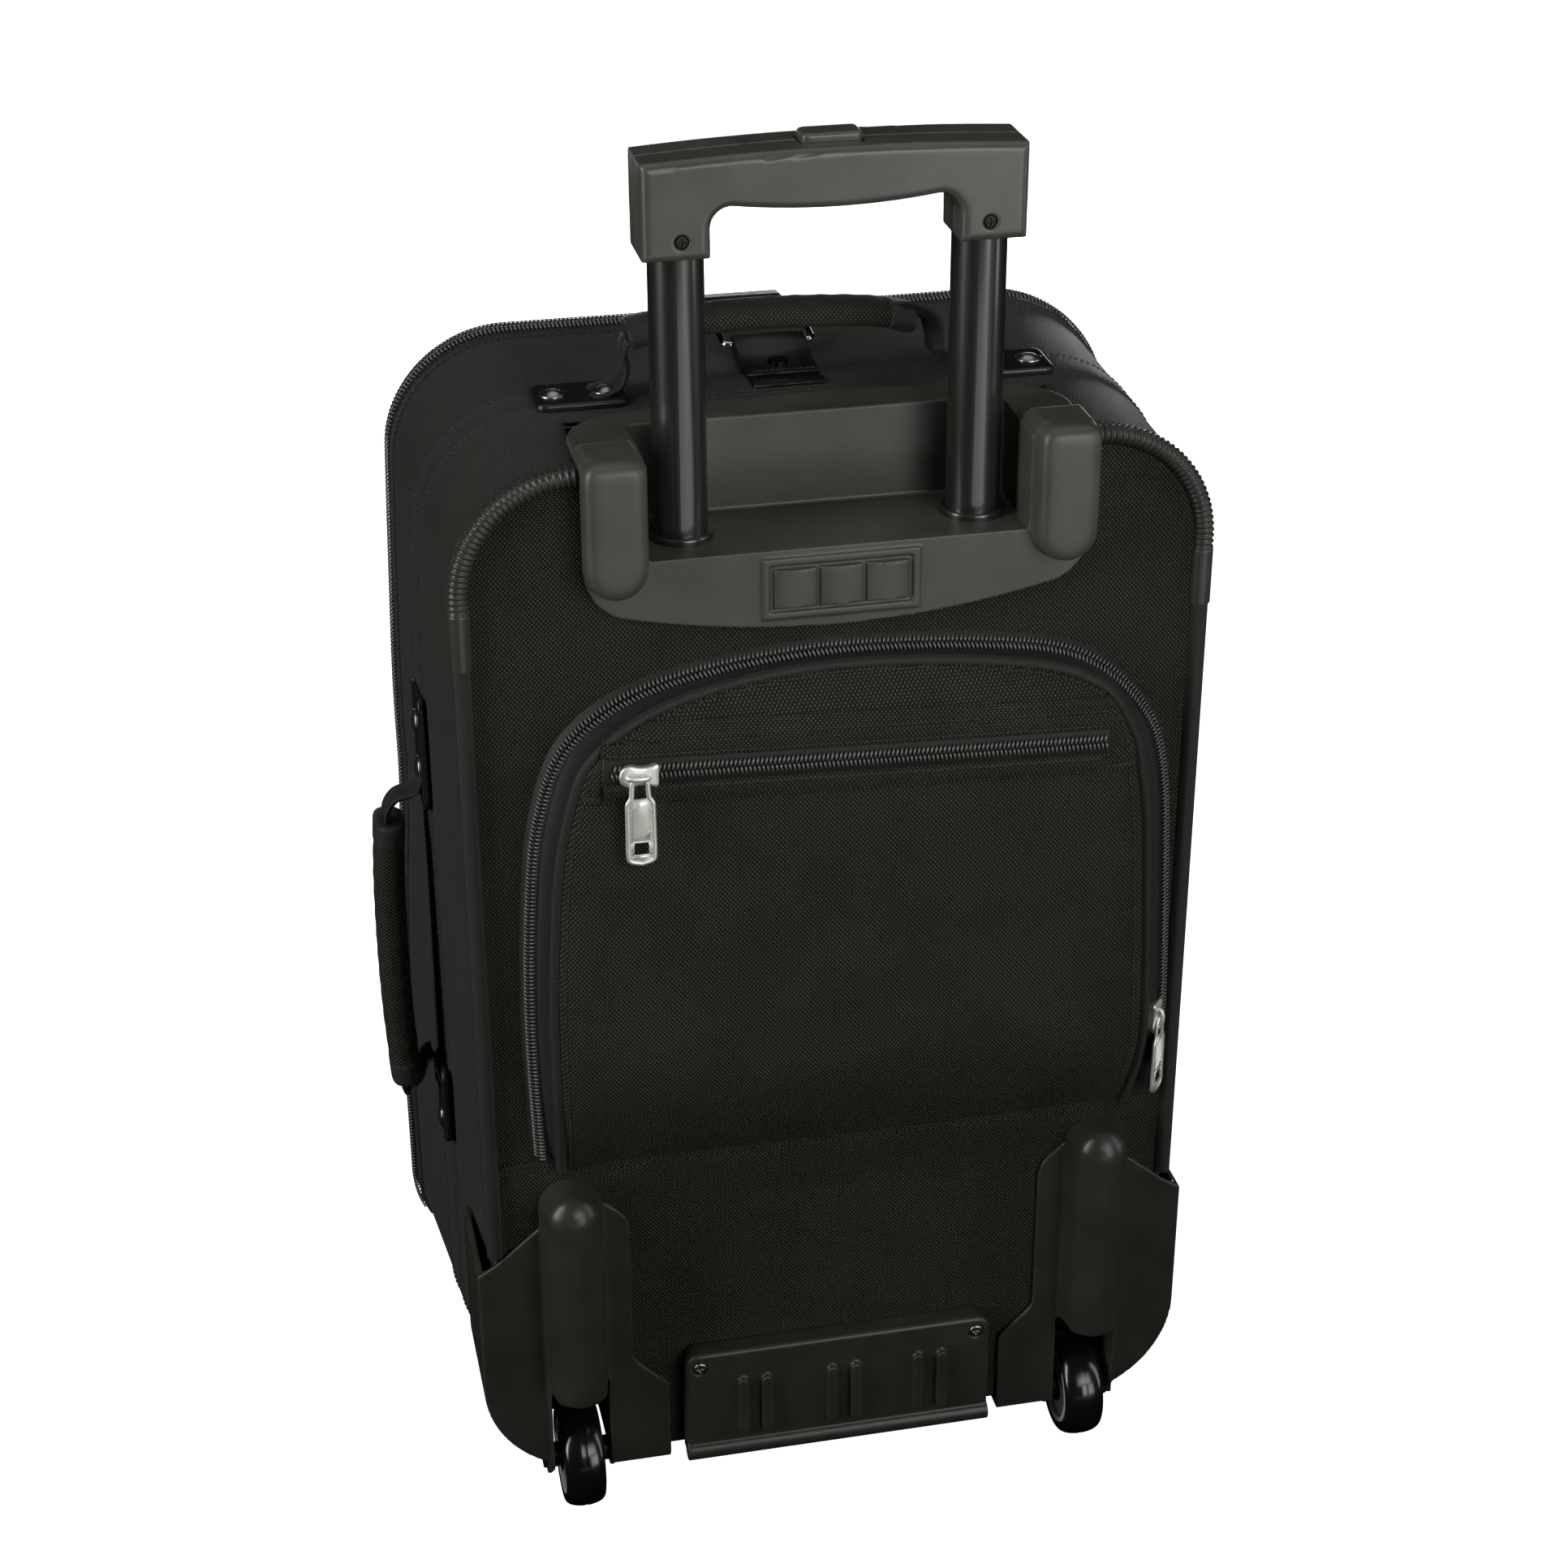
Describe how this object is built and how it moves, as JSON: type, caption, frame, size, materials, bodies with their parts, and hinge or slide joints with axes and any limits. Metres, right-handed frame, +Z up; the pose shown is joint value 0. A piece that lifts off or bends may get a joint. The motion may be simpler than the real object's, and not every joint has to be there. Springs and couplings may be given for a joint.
{
  "type": "softside upright suitcase",
  "caption": "Softside upright suitcase with a telescopic handle, inline wheels in corner housings, a hinged front lid, a zipped back pocket and padded carry handles.",
  "frame": {"origin": "on the floor, midway between the wheels, in the plane of the back panel's outer face", "axes": "+Z up, -Y towards the front with the lid, +Y towards the back with the telescopic handle, +X towards the side with the side carry handle"},
  "size_m": [0.3939, 0.2843, 0.687],
  "materials": {
    "ballistic_nylon": "coarse woven nylon, matt",
    "piping_fabric": "herringbone webbing",
    "webbing": "flat woven webbing",
    "handle_fabric": "padded woven grip",
    "lining": "plain lining fabric",
    "zip_tape": "woven tape with nylon coil",
    "housing_plastic": "satin moulded",
    "cup_plastic": "fine satin moulded",
    "grip_plastic": "satin moulded",
    "button_plastic": "satin moulded",
    "protector_rubber": "ribbed satin rubber",
    "buckle_plastic": "satin",
    "handle_metal": "dark gloss anodised",
    "guide_metal": "mill finish",
    "spring_steel": "drawn wire",
    "screw_steel": "blackened",
    "plate_plastic": "semi-gloss moulded",
    "axle_steel": "turned",
    "tyre": "glossy polyurethane",
    "hub_plastic": "silver moulded",
    "zip_metal": "satin nickel",
    "ring_metal": "polished",
    "leather": "smooth black"
  },
  "bodies": {
    "case": {"gusset_top": "ballistic_nylon", "gusset_sides": "ballistic_nylon", "gusset_bottom": "ballistic_nylon", "stiffener_boards": "ballistic_nylon", "back_piping": "piping_fabric", "corner_protectors": "protector_rubber", "wire_frame": "spring_steel", "back_pocket": "ballistic_nylon", "back_pocket_zips": "zip_tape", "trolley_cup": "cup_plastic", "tube_collars": "handle_metal", "guide_tubes": "guide_metal", "base_bracket": "housing_plastic", "wheel_housings": "housing_plastic", "housing_screws": "screw_steel", "skid_plate": "housing_plastic", "wheel_axles": "axle_steel", "axle_spacers": "buckle_plastic", "front_feet": "housing_plastic", "handle_plates": "plate_plastic", "plate_screws": "screw_steel", "leather_tab": "leather", "tab_rivet": "zip_metal", "lining_panel": "lining", "tie_straps": "webbing", "strap_buckle": "buckle_plastic", "main_zip_case": "zip_tape"},
    "handle": {"handle_tubes": "handle_metal", "tube_plugs": "housing_plastic", "grip_rear": "grip_plastic", "grip_front": "grip_plastic", "grip_screws": "screw_steel", "return_springs": "spring_steel"},
    "button": {"push_button": "button_plastic", "pull_rods": "guide_metal"},
    "lock_pin_right": {"lock_pin_right": "button_plastic"},
    "lock_pin_left": {"lock_pin_left": "button_plastic"},
    "wheel_right": {"wheel_tyre_right": "tyre", "wheel_hub_right": "hub_plastic", "wheel_bearings_right": "axle_steel"},
    "wheel_left": {"wheel_tyre_left": "tyre", "wheel_hub_left": "hub_plastic", "wheel_bearings_left": "axle_steel"},
    "lid": {"lid_shell": "ballistic_nylon", "lid_board": "buckle_plastic", "main_zip_lid": "zip_tape", "lid_pocket_lower": "ballistic_nylon", "lid_pocket_upper": "ballistic_nylon", "lid_pocket_zips": "zip_tape"},
    "top_handle": {"top_grip": "handle_fabric"},
    "side_handle": {"side_grip": "handle_fabric"},
    "ring": {"tab_ring": "ring_metal"},
    "pocket_slider": {"pocket_slider": "zip_metal"},
    "pocket_pull": {"pocket_pull": "zip_metal"},
    "u_zip_slider": {"u_zip_slider": "zip_metal"},
    "u_zip_pull": {"u_zip_pull": "zip_metal"},
    "main_slider_upper": {"main_slider_upper": "zip_metal"},
    "main_pull_upper": {"main_pull_upper": "zip_metal"},
    "main_slider_lower": {"main_slider_lower": "zip_metal"},
    "main_pull_lower": {"main_pull_lower": "zip_metal"}
  },
  "joints": [
    {"name": "handle_slide", "type": "slide", "parent": "case", "child": "handle", "axis": [0, 0, 1], "range_m": [-0.1225, 0.27]},
    {"name": "button_press", "type": "slide", "parent": "handle", "child": "button", "axis": [0, 0, -1], "range_m": [0, 0.004], "stiffness_N_per_m": 1500, "springref_m": -0.004, "deforming": ["return_springs"]},
    {"name": "lock_pin_right_slide", "type": "slide", "parent": "handle", "child": "lock_pin_right", "axis": [-1, 0, 0], "range_m": [0, 0.003]},
    {"name": "lock_pin_left_slide", "type": "slide", "parent": "handle", "child": "lock_pin_left", "axis": [1, 0, 0], "range_m": [0, 0.003]},
    {"name": "wheel_right_spin", "type": "hinge", "parent": "case", "child": "wheel_right", "pos_m": [0.1285, -0.0105, 0.027], "axis": [1, 0, 0], "continuous": true},
    {"name": "wheel_left_spin", "type": "hinge", "parent": "case", "child": "wheel_left", "pos_m": [-0.1285, -0.0105, 0.027], "axis": [1, 0, 0], "continuous": true},
    {"name": "lid_hinge", "type": "hinge", "parent": "case", "child": "lid", "pos_m": [0, -0.19, 0.031], "axis": [1, 0, 0], "range_deg": [0, 95]},
    {"name": "top_handle_lift", "type": "slide", "parent": "case", "child": "top_handle", "axis": [0, 0, 1], "range_m": [0, 0.012]},
    {"name": "side_handle_lift", "type": "slide", "parent": "case", "child": "side_handle", "axis": [1, 0, 0], "range_m": [0, 0.012]},
    {"name": "ring_swing", "type": "hinge", "parent": "case", "child": "ring", "pos_m": [0.003, -0.133, 0.558], "axis": [-1, 0, 0], "range_deg": [0, 120]},
    {"name": "pocket_zip_slide", "type": "slide", "parent": "case", "child": "pocket_slider", "axis": [-0.9992, 0, -0.0401], "range_m": [-0.004, 0.2]},
    {"name": "pocket_pull_swing", "type": "hinge", "parent": "pocket_slider", "child": "pocket_pull", "pos_m": [0.096, 0.0372, 0.42685], "axis": [1, 0, 0], "range_deg": [0, 150]},
    {"name": "u_zip_slide", "type": "slide", "parent": "case", "child": "u_zip_slider", "axis": [0, 0, 1], "range_m": [-0.03, 0.13]},
    {"name": "u_zip_pull_swing", "type": "hinge", "parent": "u_zip_slider", "child": "u_zip_pull", "pos_m": [-0.15583, 0.01152, 0.257], "axis": [0.6428, 0.766, 0], "range_deg": [0, 140]},
    {"name": "main_zip_upper_slide", "type": "slide", "parent": "case", "child": "main_slider_upper", "axis": [0, 0, 1], "range_m": [0, 0.1]},
    {"name": "main_pull_upper_swing", "type": "hinge", "parent": "main_slider_upper", "child": "main_pull_upper", "pos_m": [-0.1862, -0.19, 0.345], "axis": [0, 1, 0], "range_deg": [0, 140]},
    {"name": "main_zip_lower_slide", "type": "slide", "parent": "case", "child": "main_slider_lower", "axis": [0, 0, 1], "range_m": [-0.2, 0]},
    {"name": "main_pull_lower_swing", "type": "hinge", "parent": "main_slider_lower", "child": "main_pull_lower", "pos_m": [-0.1862, -0.19, 0.3], "axis": [0, 1, 0], "range_deg": [0, 140]}
  ],
  "couplings": [
    {"joint": "lock_pin_right_slide", "follows": "button_press", "ratio": 0.75},
    {"joint": "lock_pin_left_slide", "follows": "button_press", "ratio": 0.75}
  ]
}
